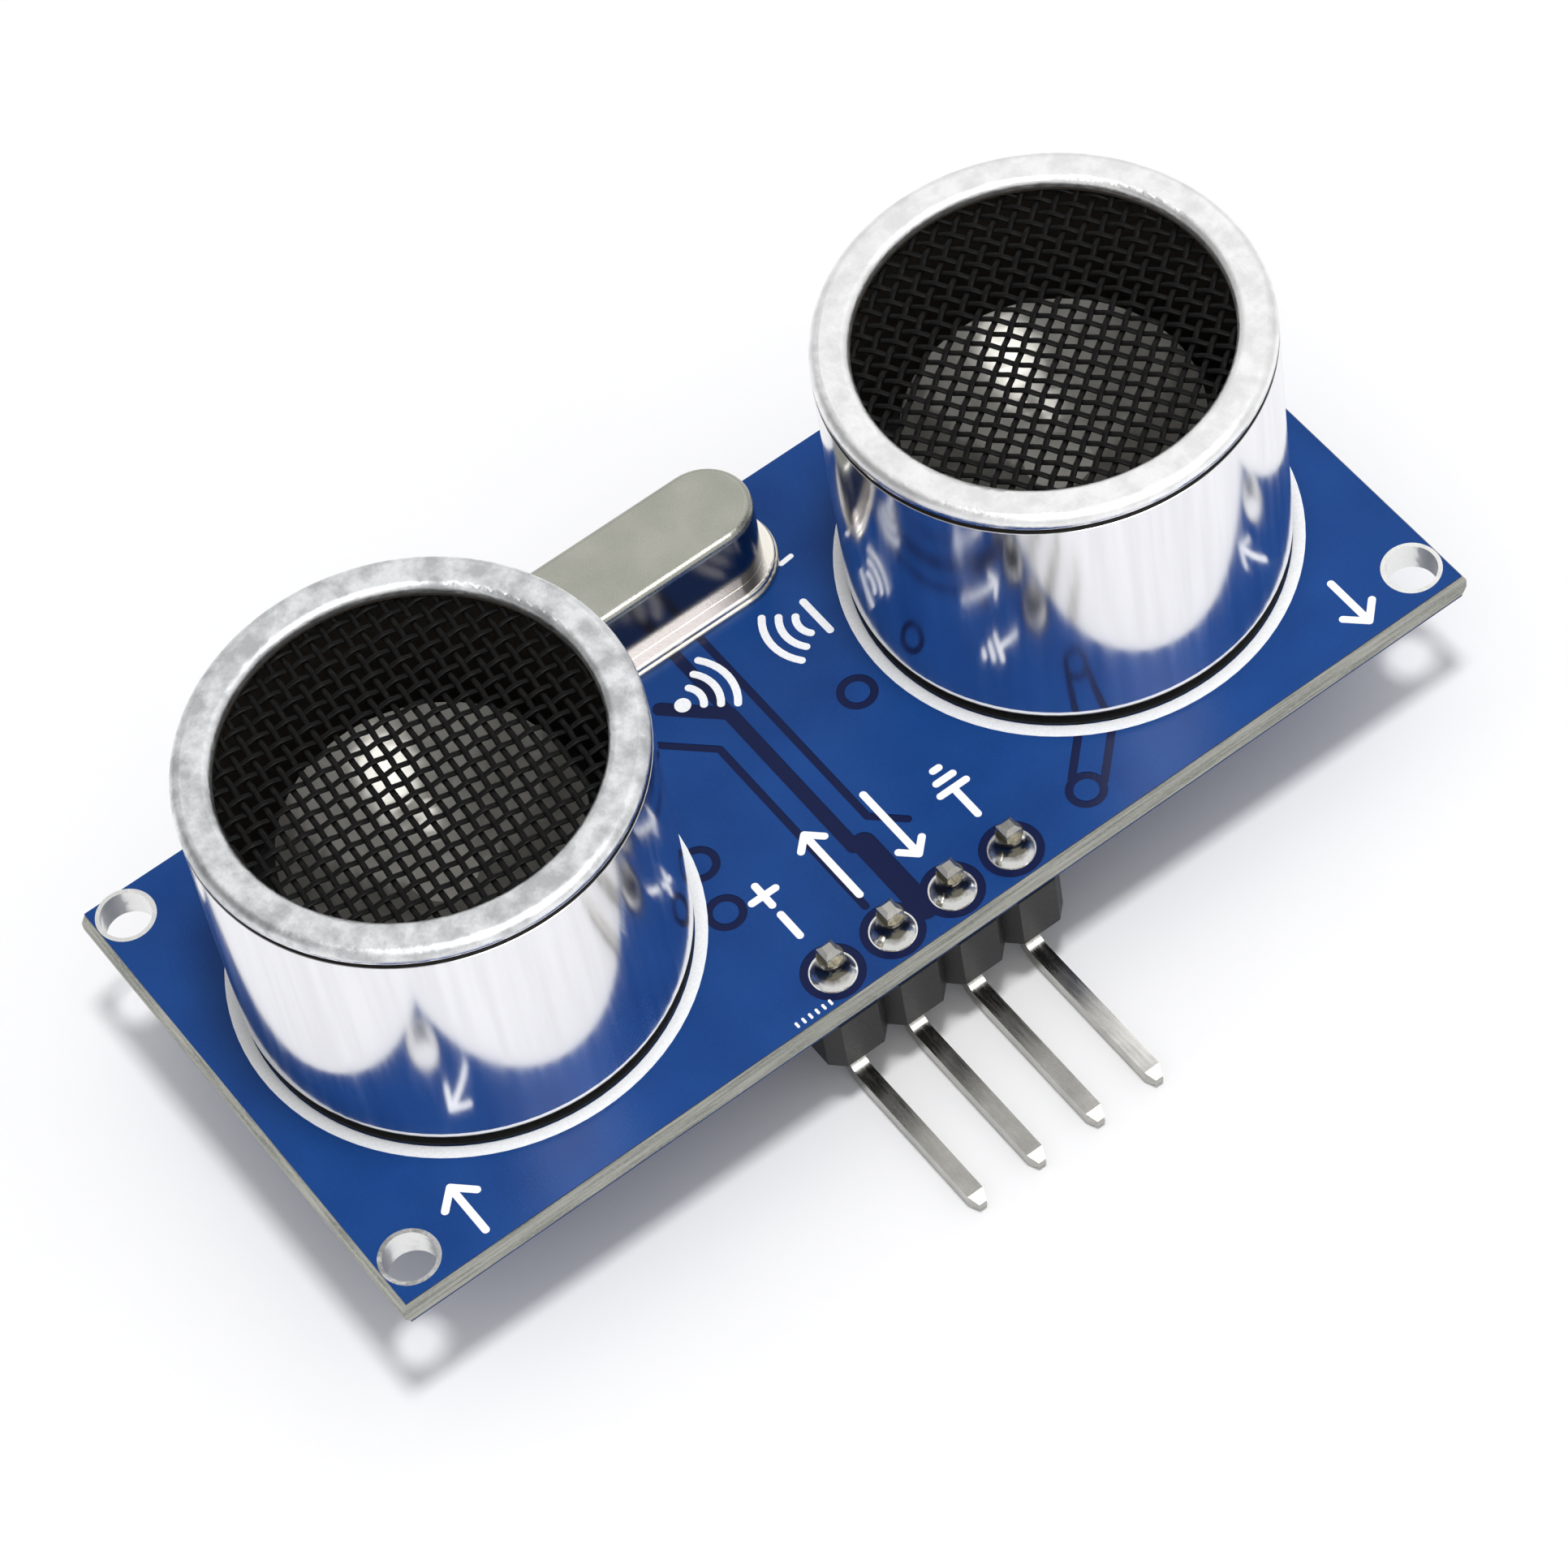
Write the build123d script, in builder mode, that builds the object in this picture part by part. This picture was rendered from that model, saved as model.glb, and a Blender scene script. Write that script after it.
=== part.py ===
from build123d import *
import math
import os

# Ultrasonic distance sensor: a small circuit board with two 16 mm transducer cans on its
# front, a quartz crystal between them, a bent four-pin header along its lower edge and the
# driving electronics on its back.
#
# Millimetres. The origin is the middle of the four corner holes, on the board's front face.
# +Z points out of the front, along the cans. +X runs from transmitter to receiver and +Y from
# the header to the crystal.

os.makedirs("parts", exist_ok=True)

# ---- Driving dimensions --------------------------------------------------------------------
board_length = 45.0
board_width = 20.0
board_thickness = 1.2
board_shift = -0.2  # board centre in Y, seen from the hole pattern
hole_spacing_x = 42.8
hole_spacing_y = 17.6
can_spacing = 26.1
can_radius = 7.95
can_height = 12.0
pitch = 2.54
header_x = -0.2  # middle of the header
header_y = -9.0
crystal_x = -0.4
crystal_y = 7.45

# ---- Board layers --------------------------------------------------------------------------
mask = 0.04
copper = 0.035
ink = 0.02
back = -board_thickness
core_top = -mask - copper
core_bottom = back + mask + copper
sides = {"transmitter": -can_spacing / 2, "receiver": can_spacing / 2}
board_plane = Plane((0, board_shift, 0))
score_ridge = 0.2  # how far the snapped web stands out of the short ends
score_web = 0.4
copper_margin = 0.5  # bare border around the copper

# ---- Holes: places, barrel bore, pad radius ------------------------------------------------
barrel = 0.04
header_pad = 0.85
corner_places = [
    (x * hole_spacing_x / 2, y * hole_spacing_y / 2) for x in (-1, 1) for y in (-1, 1)
]
pin_xs = [header_x + (k - 1.5) * pitch for k in range(4)]
header_places = [(x, header_y) for x in pin_xs]
terminal_reach = 5.0  # transducer terminals stand this far from the can axis
terminal_places = [(x, y) for x in sides.values() for y in (-terminal_reach, terminal_reach)]
crystal_lead_reach = 2.44
crystal_places = [(crystal_x + s * crystal_lead_reach, crystal_y) for s in (-1, 1)]
hole_groups = [
    (corner_places, 0.93, 1.09),
    (header_places, 0.5, header_pad),
    (terminal_places, 0.52, 1.0),
    (crystal_places, 0.36, 0.7),
]
via_places = [(3.5, -0.3), (-5.4, -4.7), (-4.95, -2.5), (7.05, -8.75)]
via_pad = 0.45
isolation = 0.3  # width of the bare rings and lines between copper areas
ground_gap = 0.55  # width of the bare lines along the ground area
ground_band = 0.9


def rounded_line(start, end, width):
    """Add a straight stroke with round ends to the sketch being built."""
    run = Vector(*end) - Vector(*start)
    middle = (Vector(*end) + Vector(*start)) / 2
    angle = math.degrees(math.atan2(run.Y, run.X))
    with Locations(middle):
        SlotCenterToCenter(run.length, width, rotation=angle)


def rounded_path(points, width):
    """Add a bent stroke through several points to the sketch being built."""
    for start, end in zip(points, points[1:]):
        rounded_line(start, end, width)


def copper_gaps():
    """Add the bare lines between the copper areas of the front to the sketch being built."""
    trigger_x = pin_xs[1] - 0.13
    ground_x = -0.45
    echo_x = pin_xs[2] - 0.42
    upper_end = 5.6
    fork_y = 1.9
    rounded_path([(trigger_x, header_y + 1.4), (trigger_x, 0.9), (trigger_x - 2.6, 3.5)], isolation)
    rounded_path([(ground_x, -5.4), (ground_x, fork_y), (ground_x - 1.75, fork_y + 1.75)], ground_gap)
    rounded_line((ground_x, fork_y), (ground_x, upper_end), ground_gap - 0.1)
    rounded_path([(echo_x + 1.0, -5.7), (echo_x, -4.7), (echo_x, upper_end)], isolation)
    rounded_line((-0.1, -5.5), (-0.1, header_y), ground_band)
    with Locations(header_places):
        Circle(header_pad + isolation)
    with Locations(via_places):
        Circle(via_pad + isolation)
    # a track leaves the last via on the slant, with a bare line along each side
    via_x, via_y = via_places[-1]
    track_half = 0.4
    track_run = 3.0
    for side in (-track_half, track_half):
        start = (via_x + side + 0.3, via_y - side + 0.3)
        rounded_line(start, (start[0] + track_run, start[1] + track_run), isolation)


# ---- The board -----------------------------------------------------------------------------
# The short ends are snapped off a scored panel, which leaves the middle of the sheet proud.
with BuildPart() as circuit_board:
    half_length = board_length / 2
    middle_z = (core_top + core_bottom) / 2
    with BuildSketch(Plane((0, board_shift, 0), x_dir=(1, 0, 0), z_dir=(0, -1, 0))):
        with BuildLine():
            Polyline(
                (-half_length, core_top),
                (half_length, core_top),
                (half_length + score_ridge, middle_z + score_web / 2),
                (half_length + score_ridge, middle_z - score_web / 2),
                (half_length, core_bottom),
                (-half_length, core_bottom),
                (-half_length - score_ridge, middle_z - score_web / 2),
                (-half_length - score_ridge, middle_z + score_web / 2),
                close=True,
            )
        make_face()
    extrude(amount=board_width / 2, both=True)
    for places, bore, pad in hole_groups:
        with Locations([(x, y, core_top) for x, y in places]):
            Hole(bore + barrel)

with BuildPart() as copper_front:
    with BuildSketch(Plane.XY.offset(core_top)):
        with Locations((0, board_shift)):
            Rectangle(board_length - 2 * copper_margin, board_width - 2 * copper_margin)
        with BuildSketch(mode=Mode.PRIVATE) as gaps:
            copper_gaps()
        add(gaps.sketch, mode=Mode.SUBTRACT)
        with Locations(via_places):
            Circle(via_pad)
        for places, bore, pad in hole_groups:
            with Locations(places):
                Circle(pad, mode=Mode.SUBTRACT)
    extrude(amount=copper)

with BuildPart() as copper_back:
    with BuildSketch(Plane.XY.offset(back + mask)):
        with Locations((0, board_shift)):
            Rectangle(board_length - 2 * copper_margin, board_width - 2 * copper_margin)
        for places, bore, pad in hole_groups:
            with Locations(places):
                Circle(pad + isolation, mode=Mode.SUBTRACT)
    extrude(amount=copper)

with BuildPart() as solder_mask_front:
    with BuildSketch(board_plane.offset(-mask)):
        Rectangle(board_length, board_width)
    extrude(amount=mask)
    with BuildSketch(Plane.XY) as sunk_lines:
        copper_gaps()
        with Locations(via_places):
            Circle(via_pad, mode=Mode.SUBTRACT)
    extrude(amount=-mask / 2, mode=Mode.SUBTRACT)
    for places, bore, pad in hole_groups:
        with Locations([(x, y, 0) for x, y in places]):
            Hole(pad)

with BuildPart() as solder_mask_back:
    with BuildSketch(board_plane.offset(back)):
        Rectangle(board_length, board_width)
    extrude(amount=mask)
    for places, bore, pad in hole_groups:
        with Locations([(x, y, back + mask) for x, y in places]):
            Hole(pad)

with BuildPart() as plated_holes:
    for places, bore, pad in hole_groups:
        for height in (core_top, back):
            with BuildSketch(Plane.XY.offset(height)):
                with Locations(places):
                    Circle(pad)
            extrude(amount=mask + copper)
        with BuildSketch(Plane.XY.offset(back)):
            with Locations(places):
                Circle(bore + barrel)
        extrude(amount=board_thickness)
        with BuildSketch(Plane.XY.offset(back)):
            with Locations(places):
                Circle(bore)
        extrude(amount=board_thickness, mode=Mode.SUBTRACT)

# ---- White ink: rings around the cans and plain symbols --------------------------------------
ring_inner = 7.9
ring_outer = 8.35
stroke = 0.28
mark_height = 2.1
mark_y = -8.55


def arrow(tail, tip, head):
    """Add an arrow along Y to the sketch being built."""
    x, y = tip
    way = math.copysign(head, tail[1] - y)
    rounded_line(tail, tip, stroke)
    for side in (-head, head):
        rounded_line(tip, (x + side, y + way), stroke)


def sound_arcs(centre, facing):
    """Add three spreading arcs around a point to the sketch being built."""
    for ring in (0.75, 1.35, 1.95):
        with BuildLine(mode=Mode.PRIVATE):
            arc = CenterArc(centre, ring, facing - 38, 76)
        SlotArc(arc, stroke)


with BuildPart() as silkscreen_front:
    with BuildSketch(Plane.XY):
        with Locations([(x, 0) for x in sides.values()]):
            Circle(ring_outer)
            Circle(ring_inner, mode=Mode.SUBTRACT)
        # sending and receiving marks beside the lower corner holes
        low, high = mark_y - mark_height / 2, mark_y + mark_height / 2
        arrow((-18.85, low), (-18.85, high), 0.65)
        arrow((18.85, high), (18.85, low), 0.65)
        # header functions: supply, trigger in, echo out, ground
        foot = -7.1
        rounded_line((pin_xs[0], foot), (pin_xs[0], foot + 1.1), stroke)
        rounded_line((pin_xs[0], foot + 1.6), (pin_xs[0], foot + 2.6), stroke)
        rounded_line((pin_xs[0] - 0.5, foot + 2.1), (pin_xs[0] + 0.5, foot + 2.1), stroke)
        arrow((pin_xs[1], foot), (pin_xs[1], foot + 3.2), 0.5)
        arrow((pin_xs[2], foot + 3.2), (pin_xs[2], foot), 0.5)
        rounded_line((pin_xs[3], foot), (pin_xs[3], foot + 1.4), stroke)
        for step, reach in enumerate((0.55, 0.35, 0.12)):
            bar_y = foot + 1.4 + 0.5 * step
            rounded_line((pin_xs[3] - reach, bar_y), (pin_xs[3] + reach, bar_y), stroke)
        # sound leaving, meeting a wall and coming back
        with Locations((-1.5, 3.25)):
            Circle(0.3)
        sound_arcs((-1.5, 3.25), 0)
        sound_arcs((4.35, 3.25), 180)
        rounded_line((4.35, 2.45), (4.35, 4.05), stroke)
        rounded_line((4.75, 5.9), (5.2, 5.95), 0.2)
        # small ticks at the lower edge
        for k in range(6):
            tick_x = -6.2 + 0.28 * k
            rounded_line((tick_x, -10.0), (tick_x, -9.85), 0.1)
    extrude(amount=ink)

# ---- Transducers ---------------------------------------------------------------------------
wall = 0.45
opening_radius = 6.54
can_foot = 0.1
foot_turn_in = 0.5
sole_radius = 7.85  # thin plastic sole that keeps the can off the board
crimp_radius = 0.8
lip_underside = 11.5
lip_outer_round = 0.38
lip_inner_round = 0.3
groove_z = 11.38
groove_depth = 0.2
groove_half = 0.14
bore_radius = can_radius - wall
fit_gap = 0.05
base_top = 2.6
ledge = can_foot + wall
mesh_pitch_x = 0.54
mesh_pitch_y = 0.62
mesh_wire = 0.24
mesh_thickness = 0.25
mesh_turn = {"transmitter": -6, "receiver": 36.6}
hub_radius = 1.2
rim_radius = 5.3
flank_radius = 3.5  # where the flare of the cone is measured
flank_rise = 0.95
rim_rise = 2.3
cone_sheet = 0.15
plate_bottom = 4.3
plate_top = 4.6
plate_radius = 4.9
piezo_bottom = 3.95
piezo_radius = 3.7
support_outer = 4.55
support_inner = 4.0
terminal_radius = 0.4
terminal_tail = 1.1
terminal_post = 0.4
wire_radius = 0.1
wire_bend = 0.2
plate_joint_y = 4.5  # where the wires are soldered on
piezo_joint_y = -2.2
mesh_spots = [
    (i * mesh_pitch_x, j * mesh_pitch_y)
    for i in range(-13, 14)
    for j in range(-11, 12)
    if math.hypot(i * mesh_pitch_x, j * mesh_pitch_y) < opening_radius + 0.1
]

transducer_parts = {}
for side, axis_x in sides.items():
    upright = Plane((axis_x, 0, 0), x_dir=(1, 0, 0), z_dir=(0, -1, 0))
    across = Plane((axis_x, 0, 0), x_dir=(0, 1, 0), z_dir=(1, 0, 0))
    centre_line = Axis((axis_x, 0, 0), (0, 0, 1))

    with BuildPart() as can:
        with BuildSketch(upright) as can_section:
            with BuildLine():
                Polyline(
                    (bore_radius - foot_turn_in, can_foot),
                    (can_radius, can_foot),
                    (can_radius, groove_z - groove_half),
                    (can_radius - groove_depth, groove_z),
                    (can_radius, groove_z + groove_half),
                    (can_radius, can_height),
                    (opening_radius, can_height),
                    (opening_radius, lip_underside),
                    (bore_radius, lip_underside),
                    (bore_radius, ledge),
                    (bore_radius - foot_turn_in, ledge),
                    close=True,
                )
            make_face()
            corners = can_section.vertices()
            fillet(corners.group_by(Axis.Y)[0].sort_by(Axis.X)[-1], radius=crimp_radius)
            corners = can_section.vertices()
            fillet(corners.group_by(Axis.Y)[-1].sort_by(Axis.X)[-1], radius=lip_outer_round)
            corners = can_section.vertices()
            fillet(corners.group_by(Axis.Y)[-1].sort_by(Axis.X)[0], radius=lip_inner_round)
        revolve(axis=centre_line)

    with BuildPart() as mesh:
        mesh_plane = Plane((axis_x, 0, lip_underside - mesh_thickness))
        with BuildSketch(mesh_plane.rotated((0, 0, mesh_turn[side]))):
            Circle(bore_radius - fit_gap)
            with Locations(mesh_spots):
                Rectangle(mesh_pitch_x - mesh_wire, mesh_pitch_y - mesh_wire, mode=Mode.SUBTRACT)
        extrude(amount=mesh_thickness)

    with BuildPart() as cone:
        hub = (hub_radius, plate_top)
        flank = (flank_radius, plate_top + flank_rise)
        rim = (rim_radius, plate_top + rim_rise)
        upper_hub, upper_flank, upper_rim = [(r, z + cone_sheet) for r, z in (hub, flank, rim)]
        with BuildSketch(upright):
            with BuildLine():
                Line((0, plate_top), hub)
                ThreePointArc(hub, flank, rim)
                Line(rim, upper_rim)
                ThreePointArc(upper_rim, upper_flank, upper_hub)
                Line(upper_hub, (0, plate_top + cone_sheet))
                Line((0, plate_top + cone_sheet), (0, plate_top))
            make_face()
        revolve(axis=centre_line)

    with BuildPart() as bender_plate:
        with BuildSketch(Plane((axis_x, 0, plate_bottom))):
            Circle(plate_radius)
        extrude(amount=plate_top - plate_bottom)

    with BuildPart() as piezo_disc:
        with BuildSketch(Plane((axis_x, 0, piezo_bottom))):
            Circle(piezo_radius)
        extrude(amount=plate_bottom - piezo_bottom)

    with BuildPart() as support_ring:
        with BuildSketch(Plane((axis_x, 0, base_top))):
            Circle(support_outer)
            Circle(support_inner, mode=Mode.SUBTRACT)
            # a slot lets the wire through to the piezo disc
            with Locations((0, -support_outer)):
                Rectangle(8 * wire_radius, 1.6, mode=Mode.SUBTRACT)
        extrude(amount=plate_bottom - base_top)

    with BuildPart() as base:
        with BuildSketch(upright) as base_section:
            with BuildLine():
                Polyline(
                    (0, 0),
                    (sole_radius, 0),
                    (sole_radius, can_foot),
                    (bore_radius - foot_turn_in - 0.1, can_foot),
                    (bore_radius - foot_turn_in - 0.1, ledge),
                    (bore_radius - fit_gap, ledge),
                    (bore_radius - fit_gap, base_top),
                    (0, base_top),
                    close=True,
                )
            make_face()
            upper_corner = base_section.vertices().group_by(Axis.Y)[-1].sort_by(Axis.X)[-1]
            chamfer(upper_corner, length=0.2)
        revolve(axis=centre_line)
        with Locations([(axis_x, y, base_top) for y in (-terminal_reach, terminal_reach)]):
            Hole(terminal_radius)

    with BuildPart() as terminals:
        with BuildSketch(Plane.XY.offset(back - terminal_tail)):
            with Locations([(axis_x, y) for y in (-terminal_reach, terminal_reach)]):
                Circle(terminal_radius)
        extrude(amount=terminal_tail - back + base_top + terminal_post)
        tips = terminals.edges().group_by(Axis.Z)
        chamfer(tips[0] + tips[-1], length=0.12)

    with BuildPart() as lead_wires:
        post_top = base_top + terminal_post
        start_z = post_top + 0.4
        loop_y = terminal_reach + 0.45
        loop_z = plate_top + 0.4
        with BuildLine(across) as outer_path:
            FilletPolyline(
                (terminal_reach, post_top),
                (terminal_reach, start_z),
                (loop_y, start_z + 0.45),
                (loop_y, loop_z),
                (plate_joint_y, loop_z),
                (plate_joint_y, plate_top),
                radius=wire_bend,
            )
        with BuildSketch(Plane((axis_x, terminal_reach, post_top))):
            Circle(wire_radius)
        sweep(path=outer_path.line)
        with BuildLine(across) as inner_path:
            FilletPolyline(
                (-terminal_reach, post_top),
                (-terminal_reach, start_z),
                (piezo_joint_y, start_z),
                (piezo_joint_y, piezo_bottom),
                radius=wire_bend,
            )
        with BuildSketch(Plane((axis_x, -terminal_reach, post_top))):
            Circle(wire_radius)
        sweep(path=inner_path.line)

    pieces = {
        "can": can,
        "mesh": mesh,
        "cone": cone,
        "bender_plate": bender_plate,
        "piezo_disc": piezo_disc,
        "support_ring": support_ring,
        "base": base,
        "terminals": terminals,
        "lead_wires": lead_wires,
    }
    for name, piece in pieces.items():
        transducer_parts[f"{side}_{name}"] = piece

# ---- Crystal -------------------------------------------------------------------------------
crystal_place = Plane((crystal_x, crystal_y, 0))
crystal_length = 10.2
crystal_depth = 3.5
crystal_height = 3.5
flange_length = 11.3
flange_depth = 4.7
crystal_round = 0.28
flange_round = 0.13
base_sheet = 0.3
base_plug = 0.4
can_sheet = 0.2
seal_radius = 0.7
crystal_lead_radius = 0.215
crystal_lead_tail = 0.9
lead_top = 1.3
clip_sheet = 0.12
clip_width = 1.0
blank_bottom = 1.9
blank_sheet = 0.2
blank_width = 1.9
blank_end = 4.0

with BuildPart() as crystal_can:
    with BuildSketch(crystal_place.offset(base_sheet)):
        SlotOverall(flange_length - 0.2, flange_depth - 0.2)
    extrude(amount=can_sheet)
    fillet(crystal_can.edges().group_by(Axis.Z)[-1], radius=flange_round)
    with BuildSketch(crystal_place.offset(base_sheet)):
        SlotOverall(crystal_length, crystal_depth)
    extrude(amount=crystal_height - base_sheet)
    fillet(crystal_can.edges().group_by(Axis.Z)[-1], radius=crystal_round)
    with BuildSketch(crystal_place.offset(base_sheet)):
        SlotOverall(crystal_length - 2 * can_sheet, crystal_depth - 2 * can_sheet)
    extrude(amount=crystal_height - base_sheet - can_sheet, mode=Mode.SUBTRACT)

with BuildPart() as crystal_base:
    with BuildSketch(crystal_place):
        SlotOverall(flange_length, flange_depth)
    extrude(amount=base_sheet)
    fillet(crystal_base.edges().group_by(Axis.Z)[-1], radius=flange_round)
    with BuildSketch(crystal_place.offset(base_sheet)):
        SlotOverall(crystal_length - 0.9, crystal_depth - 0.9)
    extrude(amount=base_plug)
    with Locations([(x, y, base_sheet + base_plug) for x, y in crystal_places]):
        Hole(seal_radius)

with BuildPart() as crystal_seals:
    with BuildSketch(Plane.XY):
        with Locations(crystal_places):
            Circle(seal_radius)
            Circle(crystal_lead_radius, mode=Mode.SUBTRACT)
    extrude(amount=base_sheet + base_plug)

with BuildPart() as crystal_leads:
    with BuildSketch(Plane.XY.offset(back - crystal_lead_tail)):
        with Locations(crystal_places):
            Circle(crystal_lead_radius)
    extrude(amount=crystal_lead_tail - back + lead_top)

with BuildPart() as crystal_clips:
    clip_start = crystal_lead_reach - 0.3
    for way in (-1, 1):
        clip_plane = Plane((crystal_x, crystal_y, 0), x_dir=(way, 0, 0), z_dir=(0, -way, 0))
        with BuildSketch(clip_plane):
            with BuildLine():
                Polyline(
                    (clip_start, lead_top),
                    (blank_end + clip_sheet, lead_top),
                    (blank_end + clip_sheet, blank_bottom + blank_sheet),
                    (blank_end, blank_bottom + blank_sheet),
                    (blank_end, lead_top + clip_sheet),
                    (clip_start, lead_top + clip_sheet),
                    close=True,
                )
            make_face()
        extrude(amount=clip_width / 2, both=True)

with BuildPart() as quartz_blank:
    with BuildSketch(crystal_place.offset(blank_bottom)):
        Rectangle(2 * blank_end, blank_width)
    extrude(amount=blank_sheet)

# ---- Header --------------------------------------------------------------------------------
pin_side = 0.64
pin_top = 1.5
pin_hole = 0.46
run_z = -5.65  # middle of the pins where they run out past the board's edge
bend_radius = 1.0
run_end = -16.6
tip_chamfer = 0.15
point_length = 0.42
point_taper = 0.17
block_depth = pitch
block_bottom = back - pitch
notch_side = 0.7
solder_foot = 0.8
solder_top = 1.05
solder_waist = (0.58, 0.3)
solder_neck = 0.48

with BuildPart() as header_body:
    with BuildSketch(Plane.XY.offset(block_bottom)) as block_outline:
        with Locations(header_places):
            Rectangle(pitch, block_depth)
        # shallow notches part the block into one segment per pin
        notch_places = [
            (header_x + k * pitch, header_y + s * block_depth / 2)
            for k in (-2, -1, 0, 1, 2)
            for s in (-1, 1)
        ]
        with Locations(notch_places):
            Rectangle(notch_side, notch_side, rotation=45, mode=Mode.SUBTRACT)
    extrude(amount=back - block_bottom)
    with Locations([(x, y, back) for x, y in header_places]):
        Hole(pin_hole)

with BuildPart() as header_pins:
    for x in pin_xs:
        side_view = Plane((x, 0, 0), x_dir=(0, 1, 0), z_dir=(1, 0, 0))
        with BuildLine(side_view) as pin_path:
            Line((header_y, pin_top), (header_y, run_z + bend_radius))
            RadiusArc(
                (header_y, run_z + bend_radius), (header_y - bend_radius, run_z), bend_radius
            )
            Line((header_y - bend_radius, run_z), (run_end, run_z))
        with BuildSketch(Plane((x, header_y, pin_top))):
            Rectangle(pin_side, pin_side)
        sweep(path=pin_path.line)
        new_end = header_pins.faces().group_by(Axis.Y)[0].sort_by(Axis.X)[-1]
        chamfer(new_end.edges(), length=point_taper, length2=point_length, reference=new_end)
    upper_tips = header_pins.edges().group_by(Axis.Z)[-1]
    chamfer(upper_tips, length=tip_chamfer)

with BuildPart() as header_solder:
    for x in pin_xs:
        with BuildSketch(Plane((x, header_y, 0), x_dir=(1, 0, 0), z_dir=(0, -1, 0))):
            with BuildLine():
                Line((0, 0), (solder_foot, 0))
                ThreePointArc((solder_foot, 0), solder_waist, (solder_neck, solder_top))
                Line((solder_neck, solder_top), (0, solder_top))
                Line((0, solder_top), (0, 0))
            make_face()
        revolve(axis=Axis((x, header_y, 0), (0, 0, 1)))
    with BuildSketch(Plane.XY):
        with Locations(header_places):
            Rectangle(pin_side, pin_side)
    extrude(amount=solder_top, mode=Mode.SUBTRACT)

# ---- Solder on the back --------------------------------------------------------------------
joint_sizes = [
    (terminal_places, 0.95, terminal_radius, 0.9),
    (crystal_places, 0.66, crystal_lead_radius, 0.6),
]
with BuildPart() as solder_joints_back:
    for places, foot_radius, lead_radius, depth in joint_sizes:
        for x, y in places:
            with BuildSketch(Plane((x, y, back), x_dir=(1, 0, 0), z_dir=(0, -1, 0))):
                with BuildLine():
                    tip = (lead_radius + 0.06, -depth)
                    waist = (lead_radius + 0.22, -0.45 * depth)
                    Line((lead_radius, 0), (foot_radius, 0))
                    ThreePointArc((foot_radius, 0), waist, tip)
                    Line(tip, (lead_radius, -depth))
                    Line((lead_radius, -depth), (lead_radius, 0))
                make_face()
            revolve(axis=Axis((x, y, 0), (0, 0, 1)))

# ---- Circuits on the back ------------------------------------------------------------------
pad_sheet = 0.02
seat = back - pad_sheet  # face that the back components stand on
chip_pitch = 1.27
lead_width = 0.41
lead_sheet = 0.2
shoulder = 0.75  # where the legs leave the body, from the board
chip_half = 1.95
chip_height = 1.6
chip_gap = 0.1
chip_end = 0.51  # body beyond the outer legs
chip_chamfer = 0.25
pin_mark = 0.8  # dimple that marks the first leg, from the corner
foot_tip = 3.0
foot_pad = (0.6, 1.1)
chips = {
    "microcontroller": (0.0, -0.9, 14),
    "receiver_amplifier": (can_spacing / 2, 0.0, 14),
    "transmitter_driver": (-can_spacing / 2, 0.0, 16),
}
chip_parts = {}
pad_places = []
for chip, (x, y, leads) in chips.items():
    lead_xs = [x + (k - (leads / 2 - 1) / 2) * chip_pitch for k in range(leads // 2)]
    chip_length = (leads / 2 - 1) * chip_pitch + 2 * chip_end
    pad_places += [(lead_x, y + s * 2.75, *foot_pad) for lead_x in lead_xs for s in (-1, 1)]
    with BuildPart() as chip_body:
        with BuildSketch(Plane((x, y, seat - chip_gap), z_dir=(0, 0, -1))):
            Rectangle(chip_length, 2 * chip_half)
        extrude(amount=chip_height - chip_gap)
        top_rim = chip_body.edges().group_by(Axis.Z)[0]
        chamfer(top_rim, length=chip_chamfer)
        with BuildSketch(Plane((x, y, seat - chip_height), z_dir=(0, 0, -1))):
            with Locations((pin_mark - chip_length / 2, pin_mark - chip_half)):
                Circle(0.35)
        extrude(amount=-0.1, mode=Mode.SUBTRACT)
    with BuildPart() as chip_leads:
        for lead_x in lead_xs:
            for way in (-1, 1):
                side_view = Plane((lead_x, y, seat), x_dir=(0, way, 0), z_dir=(way, 0, 0))
                with BuildSketch(side_view) as gull_wing:
                    with BuildLine():
                        Polyline(
                            (chip_half, -shoulder),
                            (chip_half + 0.45, -shoulder),
                            (chip_half + 0.6, 0),
                            (foot_tip, 0),
                            (foot_tip, -lead_sheet),
                            (chip_half + 0.75, -lead_sheet),
                            (chip_half + 0.6, -shoulder - lead_sheet),
                            (chip_half, -shoulder - lead_sheet),
                            close=True,
                        )
                    make_face()
                extrude(amount=lead_width / 2, both=True)
    chip_parts[f"{chip}_body"] = chip_body
    chip_parts[f"{chip}_leads"] = chip_leads

small_size = (1.6, 0.8)
end_cap = 0.3
resistor_height = 0.45
capacitor_height = 0.8
cap_proud = 0.02  # how far the metal ends stand above the middle
row_step = 2.2
resistor_places = [(x + row_step * k, 4.6) for x in (-8.2, 4.1) for k in range(3)]
resistor_places += [(x + row_step * k, -6.2) for x in (-8.4, 6.2) for k in range(2)]
capacitor_places = [(x, y) for x in (-20.0, 20.0) for y in (-2.4, 2.4)] + [(-6.4, 2.6), (6.4, 2.6)]


def chip_ends(places):
    """List the middles of both metal ends of each two-ended chip."""
    reach = (small_size[0] - end_cap) / 2
    return [(x + s * reach, y) for x, y in places for s in (-1, 1)]


with BuildPart() as resistor_bodies:
    with BuildSketch(Plane.XY.offset(seat)):
        with Locations(resistor_places):
            Rectangle(small_size[0] - 2 * end_cap, small_size[1])
    extrude(amount=-resistor_height)

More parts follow.
